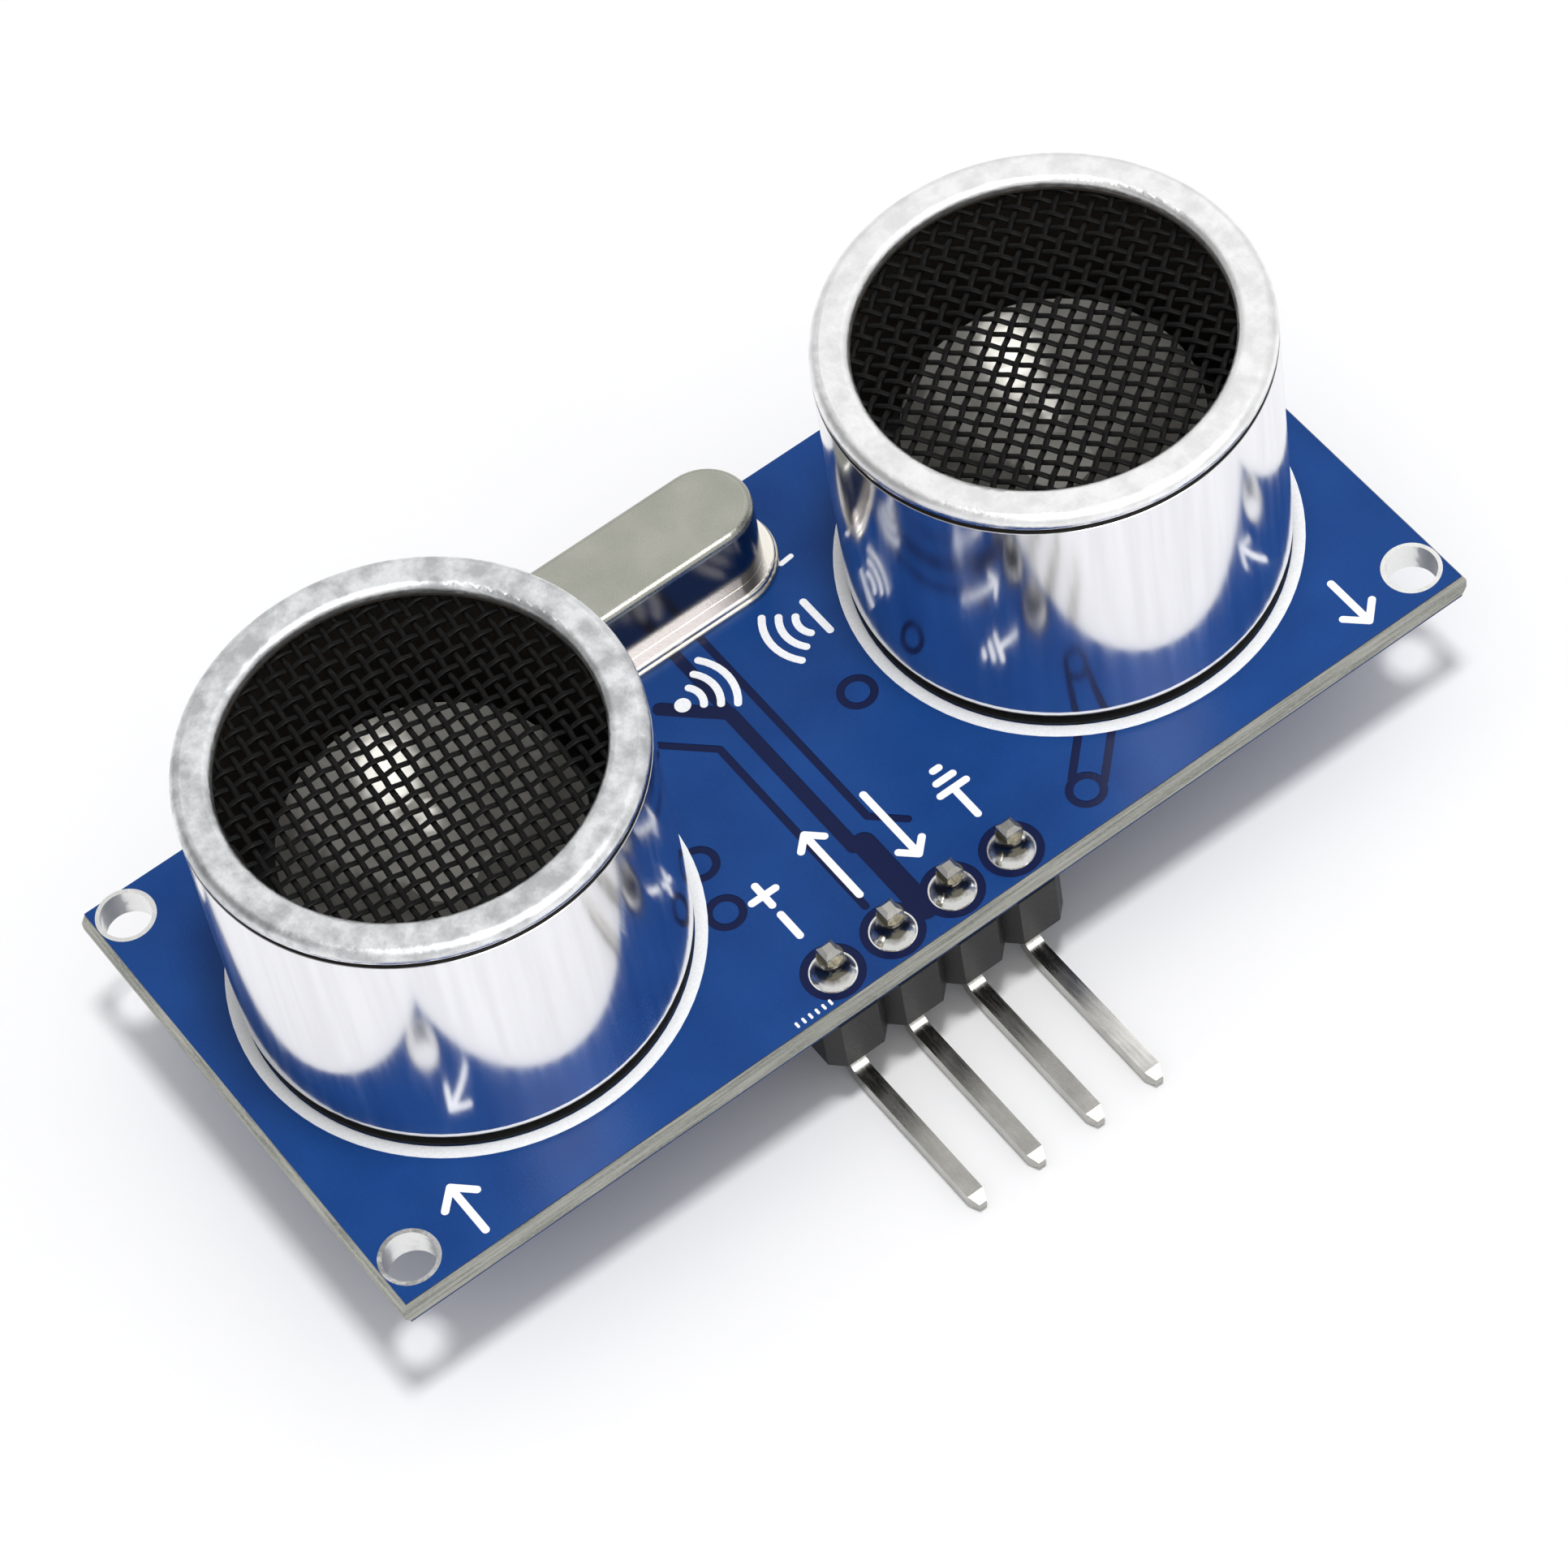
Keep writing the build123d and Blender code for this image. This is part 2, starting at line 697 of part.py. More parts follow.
with BuildPart() as resistor_ends:
    with BuildSketch(Plane.XY.offset(seat)):
        with Locations(chip_ends(resistor_places)):
            Rectangle(end_cap, small_size[1])
    extrude(amount=-resistor_height - cap_proud)

with BuildPart() as capacitor_bodies:
    with BuildSketch(Plane.XY.offset(seat)):
        with Locations(capacitor_places):
            Rectangle(small_size[0] - 2 * end_cap, small_size[1])
    extrude(amount=-capacitor_height)

with BuildPart() as capacitor_ends:
    with BuildSketch(Plane.XY.offset(seat)):
        with Locations(chip_ends(capacitor_places)):
            Rectangle(end_cap, small_size[1])
    extrude(amount=-capacitor_height - cap_proud)

transistor_x, transistor_y = 6.6, -0.9
transistor_feet = [(-0.95, -1.0), (0.95, -1.0), (0.0, 1.0)]
with BuildPart() as transistor_body:
    with BuildSketch(Plane((transistor_x, transistor_y, seat - chip_gap), z_dir=(0, 0, -1))):
        Rectangle(2.9, 1.3)
    extrude(amount=1.0)
    chamfer(transistor_body.edges().group_by(Axis.Z)[0], length=0.12)

with BuildPart() as transistor_leads:
    for x, way in transistor_feet:
        leg = Plane((transistor_x + x, transistor_y, seat), x_dir=(0, way, 0), z_dir=(way, 0, 0))
        with BuildSketch(leg):
            with BuildLine():
                Polyline(
                    (0.65, -0.5),
                    (0.9, -0.5),
                    (0.95, 0),
                    (1.25, 0),
                    (1.25, -0.12),
                    (1.05, -0.12),
                    (1.0, -0.62),
                    (0.65, -0.62),
                    close=True,
                )
            make_face()
        extrude(amount=0.2, both=True)

pad_places += [
    (x + s * 0.8, y, 0.8, 0.95) for x, y in resistor_places + capacitor_places for s in (-1, 1)
]
pad_places += [(transistor_x + x, transistor_y + way * 1.15, 0.7, 0.7) for x, way in transistor_feet]
with BuildPart() as pads_back:
    with BuildSketch(Plane.XY.offset(seat)):
        for x, y, width, depth in pad_places:
            with Locations((x, y)):
                Rectangle(width, depth)
    extrude(amount=pad_sheet)

# ---- One file per sub-part -----------------------------------------------------------------
sub_parts = {
    "circuit_board": circuit_board,
    "copper_front": copper_front,
    "copper_back": copper_back,
    "solder_mask_front": solder_mask_front,
    "solder_mask_back": solder_mask_back,
    "plated_holes": plated_holes,
    "silkscreen_front": silkscreen_front,
    "crystal_can": crystal_can,
    "crystal_base": crystal_base,
    "crystal_seals": crystal_seals,
    "crystal_leads": crystal_leads,
    "crystal_clips": crystal_clips,
    "quartz_blank": quartz_blank,
    "header_body": header_body,
    "header_pins": header_pins,
    "header_solder": header_solder,
    "solder_joints_back": solder_joints_back,
    "resistor_bodies": resistor_bodies,
    "resistor_ends": resistor_ends,
    "capacitor_bodies": capacitor_bodies,
    "capacitor_ends": capacitor_ends,
    "transistor_body": transistor_body,
    "transistor_leads": transistor_leads,
    "pads_back": pads_back,
    **transducer_parts,
    **chip_parts,
}
for name, builder in sub_parts.items():
    builder.part.label = name
    export_step(builder.part, f"parts/{name}.step")
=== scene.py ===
import bmesh
import bpy
import math
from mathutils import Matrix, Vector

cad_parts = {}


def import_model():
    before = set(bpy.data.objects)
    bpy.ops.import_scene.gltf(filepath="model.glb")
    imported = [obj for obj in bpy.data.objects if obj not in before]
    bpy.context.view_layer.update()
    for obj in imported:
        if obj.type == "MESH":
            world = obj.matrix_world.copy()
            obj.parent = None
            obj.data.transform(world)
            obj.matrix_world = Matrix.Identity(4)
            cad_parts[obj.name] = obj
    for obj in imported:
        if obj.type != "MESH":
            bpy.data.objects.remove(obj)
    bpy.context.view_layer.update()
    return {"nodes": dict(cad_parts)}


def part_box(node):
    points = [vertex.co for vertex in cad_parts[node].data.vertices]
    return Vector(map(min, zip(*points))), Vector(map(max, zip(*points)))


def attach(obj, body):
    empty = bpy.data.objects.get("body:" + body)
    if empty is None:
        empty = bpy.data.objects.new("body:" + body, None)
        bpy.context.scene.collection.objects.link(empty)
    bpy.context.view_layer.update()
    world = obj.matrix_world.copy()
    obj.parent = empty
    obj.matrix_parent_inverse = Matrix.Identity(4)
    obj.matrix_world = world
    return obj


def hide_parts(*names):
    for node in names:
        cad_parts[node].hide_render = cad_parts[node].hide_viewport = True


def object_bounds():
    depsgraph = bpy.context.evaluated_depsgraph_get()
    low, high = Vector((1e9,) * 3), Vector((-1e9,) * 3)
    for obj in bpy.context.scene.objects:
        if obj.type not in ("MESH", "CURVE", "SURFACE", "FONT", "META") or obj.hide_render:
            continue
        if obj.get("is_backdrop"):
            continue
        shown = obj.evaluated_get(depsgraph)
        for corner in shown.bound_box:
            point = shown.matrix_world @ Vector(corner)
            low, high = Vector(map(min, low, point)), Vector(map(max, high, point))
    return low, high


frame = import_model()
nodes = frame["nodes"]
MM = 0.001

# ---- Places taken from the frame -----------------------------------------------------------
SIDES = ("transmitter", "receiver")


def centre_of(node):
    low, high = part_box(node)
    return (low + high) / 2


def can_axis(side):
    """Where a can stands on the board, as x and y."""
    middle = centre_of(f"{side}_can")
    return middle.x, middle.y


def can_radius(side):
    """Outer radius of a can."""
    low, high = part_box(f"{side}_can")
    return (high.x - low.x) / 2


# ---- Shader building -----------------------------------------------------------------------
class Look:
    """A node material that is put together step by step around one Principled shader."""

    def __init__(self, name, rough=0.5, metal=0.0):
        self.material = bpy.data.materials.new(name)
        self.material.use_nodes = True
        self.tree = self.material.node_tree
        self.shader = self.tree.nodes["Principled BSDF"]
        self.set("Roughness", rough)
        self.set("Metallic", metal)
        self.place = self.node("ShaderNodeTexCoord").outputs["Object"]

    def node(self, kind, inputs=None, **settings):
        """Add a shader node, with its inputs given as values or as other nodes' outputs."""
        made = self.tree.nodes.new(kind)
        for key, value in settings.items():
            setattr(made, key, value)
        for key, value in (inputs or {}).items():
            self.put(made.inputs[key], value)
        return made

    def put(self, socket, value):
        """Feed an input from another node's output, or with a colour or number."""
        if isinstance(value, bpy.types.NodeSocket):
            self.tree.links.new(value, socket)
        elif isinstance(value, tuple) and len(value) == 3 and socket.type == "RGBA":
            socket.default_value = (*value, 1)
        else:
            socket.default_value = value

    def set(self, name, value):
        """Feed an input of the Principled shader."""
        self.put(self.shader.inputs[name], value)

    def calc(self, operation, first, second=0.0):
        """Work on one or two numbers with one of Blender's maths operations."""
        return self.node("ShaderNodeMath", {0: first, 1: second}, operation=operation).outputs[0]

    def ramp(self, value, low, high, to_low=0.0, to_high=1.0):
        """Map value from low..high to to_low..to_high, clamped."""
        limits = {"From Min": low, "From Max": high, "To Min": to_low, "To Max": to_high}
        return self.node("ShaderNodeMapRange", {"Value": value, **limits}).outputs["Result"]

    def past(self, value, start, band):
        """0 before a band and 1 after it. A band is two distances in millimetres from start."""
        return self.ramp(value, start + band[0] * MM, start + band[1] * MM)

    def before(self, value, start, band):
        """1 before a band and 0 after it."""
        return self.ramp(value, start + band[0] * MM, start + band[1] * MM, 1.0, 0.0)

    def mix(self, share, first, second):
        """Blend two colours."""
        made = self.node("ShaderNodeMix", data_type="RGBA")
        for socket, value in zip((0, 6, 7), (share, first, second)):
            self.put(made.inputs[socket], value)
        return made.outputs[2]

    def blend(self, share, first, second):
        """Blend two numbers."""
        return self.node("ShaderNodeMix", {0: share, 2: first, 3: second}).outputs[0]

    def source(self, name):
        """What already feeds an input of the shader."""
        return self.shader.inputs[name].links[0].from_socket

    def noise(self, size, detail=2.0, stretch=(1, 1, 1), rough=0.5):
        """Noise of a given grain size in millimetres."""
        in_mm = {"Vector": self.place, "Scale": Vector(stretch) / MM}
        place = self.node("ShaderNodeMapping", in_mm).outputs[0]
        inputs = {"Vector": place, "Scale": 1 / size, "Detail": detail, "Roughness": rough}
        return self.node("ShaderNodeTexNoise", inputs).outputs["Fac"]

    def axes(self):
        """The three coordinates in metres."""
        return self.node("ShaderNodeSeparateXYZ", {0: self.place}).outputs

    def radius_from(self, x, y):
        """Distance in metres from an upright axis."""
        here = self.axes()
        across = self.calc("SUBTRACT", here[0], x)
        along = self.calc("SUBTRACT", here[1], y)
        across_squared = self.calc("MULTIPLY", across, across)
        along_squared = self.calc("MULTIPLY", along, along)
        return self.calc("SQRT", self.calc("ADD", across_squared, along_squared))

    def bump(self, height, depth_mm, strength=1.0):
        """Raise the surface by a height pattern, on top of any bumps that it has already."""
        inputs = {"Height": height, "Strength": strength, "Distance": depth_mm * MM}
        made = self.node("ShaderNodeBump", inputs)
        if self.shader.inputs["Normal"].links:
            self.put(made.inputs["Normal"], self.source("Normal"))
        self.set("Normal", made.outputs[0])


def dress(look, *names):
    """Give CAD nodes a look."""
    for name in names:
        slots = nodes[name].data.materials
        slots.clear()
        slots.append(look.material)


# ---- Looks: the board ----------------------------------------------------------------------
WEAVE_SCALE = 110.0
MASK_TINTS = {
    "bare": (0.004, 0.009, 0.05),
    "deep": (0.005, 0.038, 0.175),
    "pale": (0.008, 0.055, 0.235),
    "weave": (0.02, 0.10, 0.32),
    "speck": (0.015, 0.08, 0.28),
}
# solder is tinted dark from this band of height above the board's face upwards
DARK_TOP_BAND = (0.28, 0.5)
DARK_TOP_WANDER = 0.3 * MM
DARK_TOP_TINT = (0.14, 0.13, 0.10)


def board_edge_look():
    """Snapped glass-fibre board: flat layers along the edge and fine pale fibre ends."""
    look = Look("glass_fibre", rough=0.62)
    layers = look.noise(0.14, 3, (0.05, 0.05, 1))
    fibres = look.noise(0.05, 2, (0.3, 0.3, 1))
    colour = look.mix(look.ramp(layers, 0.35, 0.65), (0.19, 0.20, 0.175), (0.42, 0.42, 0.375))
    colour = look.mix(look.ramp(fibres, 0.45, 0.75, 0, 0.5), colour, (0.55, 0.54, 0.49))
    look.set("Base Color", colour)
    look.bump(fibres, 0.02)
    return look


def mask_look(name, face_z, groove):
    """Blue lacquer, darker where it has no copper under it, with a hint of the glass weave."""
    look = Look(name, rough=0.3)
    height = look.axes()[2]
    threads = []
    for way in ("X", "Y"):
        inputs = {"Vector": look.place, "Scale": WEAVE_SCALE}
        threads.append(look.node("ShaderNodeTexWave", inputs, bands_direction=way).outputs["Fac"])
    weave = look.calc("ADD", *threads)
    cloud = look.noise(5.0, 3)
    speck = look.noise(0.12, 3)
    copper = look.mix(look.ramp(cloud, 0.3, 0.7), MASK_TINTS["deep"], MASK_TINTS["pale"])
    copper = look.mix(look.ramp(weave, 0.2, 1.8, 0.0, 0.10), copper, MASK_TINTS["weave"])
    copper = look.mix(look.ramp(speck, 0.5, 0.8, 0.0, 0.25), copper, MASK_TINTS["speck"])
    raised = look.ramp(height, face_z - groove * 0.75, face_z - groove * 0.25)
    look.set("Base Color", look.mix(raised, MASK_TINTS["bare"], copper))
    look.set("Specular IOR Level", 0.15)
    look.bump(weave, 0.003)
    look.bump(speck, 0.004)
    return look


def ink_look():
    """Screen-printed white ink, a little uneven."""
    look = Look("white_ink", rough=0.55)
    grain = look.noise(0.1, 3)
    thick = look.ramp(grain, 0.3, 0.7)
    look.set("Base Color", look.mix(thick, (0.86, 0.88, 0.91), (0.96, 0.97, 0.98)))
    look.bump(grain, 0.006)
    return look


def solder_look():
    """Shiny rippled solder, darker on what stands above the board's face."""
    look = Look("solder", metal=1.0)
    ripple = look.noise(0.5, 2)
    fine = look.noise(0.06, 3)
    metal = look.mix(fine, (0.72, 0.72, 0.70), (0.90, 0.90, 0.88))
    height = look.calc("ADD", look.axes()[2], look.calc("MULTIPLY", ripple, DARK_TOP_WANDER))
    look.set("Base Color", look.mix(look.past(height, 0, DARK_TOP_BAND), metal, DARK_TOP_TINT))
    look.set("Roughness", look.ramp(ripple, 0.3, 0.7, 0.12, 0.24))
    look.bump(ripple, 0.03)
    look.bump(fine, 0.001)
    return look


def copper_look():
    """Bare copper foil with stains."""
    look = Look("copper_foil", 0.35, 1.0)
    stain = look.noise(1.5, 3)
    look.set("Base Color", look.mix(stain, (0.55, 0.24, 0.13), (0.80, 0.42, 0.26)))
    look.bump(look.noise(0.1), 0.004)
    return look


# ---- Looks: transducers --------------------------------------------------------------------
# lip colours per can: the transmitter's lip is painted darker as painted shade and the receiver's
# lighter as painted light; within a lip, blotches mix worn and clean metal
LIP_WORN_WITH_PAINTED_LIGHT = {"transmitter": (0.54, 0.55, 0.56), "receiver": (0.84, 0.84, 0.84)}
LIP_CLEAN_WITH_PAINTED_LIGHT = {"transmitter": (0.89, 0.90, 0.91), "receiver": (0.99, 0.99, 0.99)}
# painted shade: near-black for the groove under the lip and for the can's foot, and a dim dark
# colour for the inside under the screen
FOOT_AND_GROOVE_SHADE = (0.02, 0.018, 0.016)
INSIDE_SHADE = (0.08, 0.068, 0.058)
CONE_RING_PITCH = 0.35 * MM
# bands of the can, in millimetres from its top, its foot, its outside wall or its axis
LIP_BAND = (-0.46, -0.3)
# the foot, groove and inside bands below mark where painted shade goes
FOOT_BAND = (0.5, 0.62)
GROOVE_FLOOR = (-0.03, -0.01)
GROOVE_LOWER_EDGE = (-0.8, -0.78)
GROOVE_UPPER_EDGE = (-0.48, -0.46)
INSIDE_RADIUS = (7.62, 7.7)
INSIDE_TOP = (-0.4, -0.3)


def painted_shade_zones(look, side):
    """Shares of the painted shade in the groove, at the foot and inside a can, as (all together,
    inside alone).
    """
    low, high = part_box(f"{side}_can")
    height = look.axes()[2]
    radius = look.radius_from(*can_axis(side))
    groove = look.before(radius, can_radius(side), GROOVE_FLOOR)
    groove = look.calc("MULTIPLY", groove, look.past(height, high.z, GROOVE_LOWER_EDGE))
    groove = look.calc("MULTIPLY", groove, look.before(height, high.z, GROOVE_UPPER_EDGE))
    inside = look.before(radius, 0, INSIDE_RADIUS)
    inside = look.calc("MULTIPLY", inside, look.before(height, high.z, INSIDE_TOP))
    foot = look.before(height, low.z, FOOT_BAND)
    return look.calc("MAXIMUM", look.calc("MAXIMUM", groove, foot), inside), inside


def can_look(side):
    """Drawn aluminium: polished outside wall and frosted lip, with painted shade in the groove, at
    the foot and inside.
    """
    top_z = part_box(f"{side}_can")[1].z
    look = Look(f"{side}_aluminium", metal=1.0)
    # dark is where painted shade goes: the groove, the foot and the inside
    dark, inside = painted_shade_zones(look, side)
    lip = look.past(look.axes()[2], top_z, LIP_BAND)
    frost = look.noise(0.16, 4, rough=0.7)
    blotch = look.noise(1.1, 4, rough=0.6)
    streak = look.noise(0.5, 3, (1, 1, 0.04))
    wall = look.mix(look.ramp(streak, 0.35, 0.65), (0.80, 0.80, 0.83), (0.88, 0.88, 0.91))
    # the lip's worn and clean blotches, in the per-can painted light and shade
    worn = look.mix(look.ramp(blotch, 0.38, 0.6), LIP_WORN_WITH_PAINTED_LIGHT[side], LIP_CLEAN_WITH_PAINTED_LIGHT[side])
    top = look.mix(look.ramp(frost, 0.5, 0.75, 0.0, 0.35), worn, LIP_WORN_WITH_PAINTED_LIGHT[side])
    shell = look.mix(lip, wall, top)
    # painted shade colours: the inside gets the dim dark one, the groove and the foot the
    # near-black one
    painted_shade_colour = look.mix(inside, FOOT_AND_GROOVE_SHADE, INSIDE_SHADE)
    look.set("Base Color", look.mix(dark, shell, painted_shade_colour))
    look.set("Metallic", look.calc("SUBTRACT", 1.0, dark))
    look.set("Specular IOR Level", 0.1)
    wall_rough = look.ramp(streak, 0.3, 0.7, 0.1, 0.16)
    lip_rough = look.ramp(frost, 0.3, 0.7, 0.3, 0.45)
    shell_rough = look.blend(lip, wall_rough, lip_rough)
    look.set("Roughness", look.calc("MAXIMUM", shell_rough, look.calc("MULTIPLY", dark, 0.5)))
    look.bump(look.calc("MULTIPLY", frost, lip), 0.012)
    look.bump(look.calc("MULTIPLY", blotch, lip), 0.05)
    look.bump(streak, 0.005, 0.5)
    return look


def cone_look(side):
    """Spun aluminium with a dull skin and faint turning rings."""
    look = Look(f"{side}_spun_aluminium", metal=0.65)
    radius = look.radius_from(*can_axis(side))
    rings = look.calc("SINE", look.calc("MULTIPLY", radius, 2 * math.pi / CONE_RING_PITCH))
    stain = look.noise(1.0, 3)
    look.set("Base Color", look.mix(stain, (0.34, 0.33, 0.30), (0.54, 0.53, 0.49)))
    look.set("Roughness", look.ramp(stain, 0.3, 0.7, 0.12, 0.2))
    look.bump(rings, 0.001)
    return look


def wire_cloth_look():
    """Black coated wire, worn a little."""
    look = Look("black_wire_cloth", rough=0.42)
    wear = look.noise(0.2, 3)
    worn = look.ramp(wear, 0.5, 0.8)
    look.set("Base Color", look.mix(worn, (0.003, 0.003, 0.003), (0.010, 0.009, 0.008)))
    look.set("Specular IOR Level", 0.1)
    look.bump(wear, 0.01)
    return look


# ---- Looks: crystal, header, circuits ------------------------------------------------------
FINE_CONTRAST = 0.35
# painted shade on the crystal can's side and painted light on its flange
CRYSTAL_SIDE_SHADE = (0.14, 0.135, 0.145)
CRYSTAL_FLANGE_LIGHT = (0.92, 0.88, 0.80)
CRYSTAL_SIDE_TOP = (-0.42, -0.34)
CRYSTAL_FLANGE_TOP = (0.2, 0.22)
QUARTZ_IOR = 1.54


def nickel_look(name, dark, light, rough):
    """Plated metal with soft clouds and a fine grain."""
    look = Look(name, metal=1.0)
    cloud = look.noise(1.6, 3)
    fine = look.noise(0.07, 3, (1, 1, 1), 0.7)
    colour = look.mix(look.ramp(cloud, 0.3, 0.7), dark, light)
    look.set("Base Color", look.mix(look.ramp(fine, 0.35, 0.75, 0.0, FINE_CONTRAST), colour, light))
    look.set("Roughness", look.ramp(fine, 0.3, 0.7, rough * 0.85, rough * 1.25))
    look.bump(fine, 0.004)
    return look


def crystal_look():
    """Drawn nickel silver: satin top, a polished side that mirrors the board and is painted dark as
    painted shade, and a flange painted bright as painted light.
    """
    low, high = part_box("crystal_can")
    look = nickel_look("drawn_nickel", (0.38, 0.385, 0.335), (0.46, 0.46, 0.405), 0.27)
    height = look.axes()[2]
    # the side band gets painted shade and the flange band painted light
    side = look.before(height, high.z, CRYSTAL_SIDE_TOP)
    lit_flange = look.before(height, low.z, CRYSTAL_FLANGE_TOP)
    colour = look.mix(side, look.source("Base Color"), CRYSTAL_SIDE_SHADE)
    look.set("Base Color", look.mix(lit_flange, colour, CRYSTAL_FLANGE_LIGHT))
    look.set("Roughness", look.blend(side, look.source("Roughness"), 0.13))
    return look


def moulded_look(name, colour, rough, grain_mm=0.12, shine=0.5):
    """Moulded or fired material with a fine grain."""
    look = Look(name)
    look.set("Specular IOR Level", shine)
    grain = look.noise(grain_mm, 4, rough=0.65)
    lighter = tuple(min(1.0, c * 1.7 + 0.006) for c in colour)
    look.set("Base Color", look.mix(look.ramp(grain, 0.35, 0.75), colour, lighter))
    look.set("Roughness", look.ramp(grain, 0.3, 0.7, rough - 0.08, rough + 0.1))
    look.bump(grain, 0.01)
    return look


def pin_look():
    """Tin-plated wire, drawn along its length."""
    look = Look("tinned_pins", metal=1.0)
    drawn = look.noise(0.09, 3, (1, 0.06, 1))
    smudge = look.noise(1.1, 3)
    smudged = look.ramp(smudge, 0.3, 0.7)
    look.set("Base Color", look.mix(smudged, (0.38, 0.375, 0.35), (0.50, 0.49, 0.46)))
    look.set("Roughness", look.ramp(drawn, 0.3, 0.7, 0.2, 0.32))
    look.bump(drawn, 0.0015)
    return look


def clear_look(name, colour, rough):
    """Glass or quartz with small flaws."""
    look = Look(name)
    look.set("Base Color", colour)
    look.set("Transmission Weight", 0.85)
    look.set("IOR", QUARTZ_IOR)
    flaw = look.noise(0.6, 2)
    look.set("Roughness", look.ramp(flaw, 0.3, 0.7, rough, rough + 0.1))
    look.bump(flaw, 0.004)
    return look


mask_low, mask_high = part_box("solder_mask_front")
groove = (mask_high.z - mask_low.z) / 2
# the back has copper all over, so its level for bare strips lies below the lacquer
back_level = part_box("solder_mask_back")[0].z - groove

solder = solder_look()
pins = pin_look()
epoxy = moulded_look("chip_epoxy", (0.012, 0.012, 0.013), 0.5, 0.09)
bright_nickel = nickel_look("bright_nickel", (0.60, 0.57, 0.48), (0.80, 0.76, 0.66), 0.2)
dress(board_edge_look(), "circuit_board")
dress(mask_look("front_lacquer", mask_high.z, groove), "solder_mask_front")
dress(mask_look("back_lacquer", back_level, groove), "solder_mask_back")
dress(ink_look(), "silkscreen_front")
dress(copper_look(), "copper_front", "copper_back")
dress(solder, "plated_holes", "header_solder", "solder_joints_back", "pads_back")
dress(solder, "resistor_ends", "capacitor_ends")
dress(crystal_look(), "crystal_can")
dress(bright_nickel, "crystal_base", "crystal_clips")
dress(clear_look("fused_glass", (0.25, 0.35, 0.28), 0.1), "crystal_seals")
dress(clear_look("polished_quartz", (0.9, 0.93, 0.95), 0.02), "quartz_blank")
dress(pins, "header_pins", "crystal_leads")
dress(moulded_look("header_nylon", (0.008, 0.008, 0.009), 0.45, shine=0.25), "header_body")
dress(moulded_look("resistor_glaze", (0.012, 0.012, 0.014), 0.25, 0.2), "resistor_bodies")
dress(moulded_look("capacitor_ceramic", (0.34, 0.22, 0.11), 0.5, 0.08), "capacitor_bodies")
for chip in ("microcontroller", "receiver_amplifier", "transmitter_driver", "transistor"):
    dress(epoxy, f"{chip}_body")
    dress(pins, f"{chip}_leads")
brass = nickel_look("satin_brass", (0.52, 0.38, 0.15), (0.72, 0.56, 0.27), 0.3)
ceramic = moulded_look("fired_ceramic", (0.55, 0.50, 0.38), 0.6, 0.1)
silicone = moulded_look("white_silicone", (0.62, 0.62, 0.58), 0.45, 0.5)
base_plastic = moulded_look("base_plastic", (0.012, 0.012, 0.012), 0.5)
for side in SIDES:
    dress(can_look(side), f"{side}_can")
    dress(cone_look(side), f"{side}_cone")
    dress(brass, f"{side}_bender_plate")
    dress(ceramic, f"{side}_piezo_disc")
    dress(silicone, f"{side}_support_ring")
    dress(base_plastic, f"{side}_base")
    dress(pins, f"{side}_terminals", f"{side}_lead_wires")


# ---- Woven screens -------------------------------------------------------------------------
WIRE_HALF_WIDTH = 0.11 * MM
WIRE_HALF_THICKNESS = 0.055 * MM
PITCH_X = 0.54 * MM
PITCH_Y = 0.62 * MM
TURN = {"transmitter": math.radians(-6), "receiver": math.radians(36.6)}
STEPS_PER_CROSSING = 6
WIRE_SIDES = 10
# in half thicknesses: how far a wire waves, and how far the cloth's middle is below the top
WIRE_LIFT = 0.95
TOP_GAP = 2.05


def add_wire(mesh, path):
    """Add one rolled wire, an oval in section, along a path of points to a bmesh."""
    rings = []
    for k, point in enumerate(path):
        ahead = path[min(k + 1, len(path) - 1)]
        behind = path[max(k - 1, 0)]
        along = (ahead - behind).normalized()
        side = along.cross(Vector((0, 0, 1))).normalized()
        up = side.cross(along)
        ring = []
        for s in range(WIRE_SIDES):
            turn = 2 * math.pi * s / WIRE_SIDES
            sideways = WIRE_HALF_WIDTH * math.cos(turn) * side
            upwards = WIRE_HALF_THICKNESS * math.sin(turn) * up
            ring.append(mesh.verts.new(point + (sideways + upwards)))
        rings.append(ring)
    for first, second in zip(rings, rings[1:]):
        for s in range(WIRE_SIDES):
            t = (s + 1) % WIRE_SIDES
            face = mesh.faces.new((first[s], first[t], second[t], second[s]))
            face.smooth = True
    mesh.faces.new(rings[0])
    mesh.faces.new(reversed(rings[-1]))


def add_wires(mesh, reach, pitch, crossing, upright, lift, phase):
    """Add one direction of a weave: wires a pitch apart, waving over and under the others."""
    count = int(reach / pitch)
    for i in range(-count, count + 1):
        offset = i * pitch
        half = math.sqrt(reach * reach - offset * offset)
        steps = max(2, round(2 * half / crossing * STEPS_PER_CROSSING))
        path = []
        for k in range(steps + 1):
            run = -half + 2 * half * k / steps
            wave = lift * math.cos(math.pi * run / crossing) * (-1) ** (i + phase)
            path.append(Vector((offset, run, wave)) if upright else Vector((run, offset, wave)))
        add_wire(mesh, path)


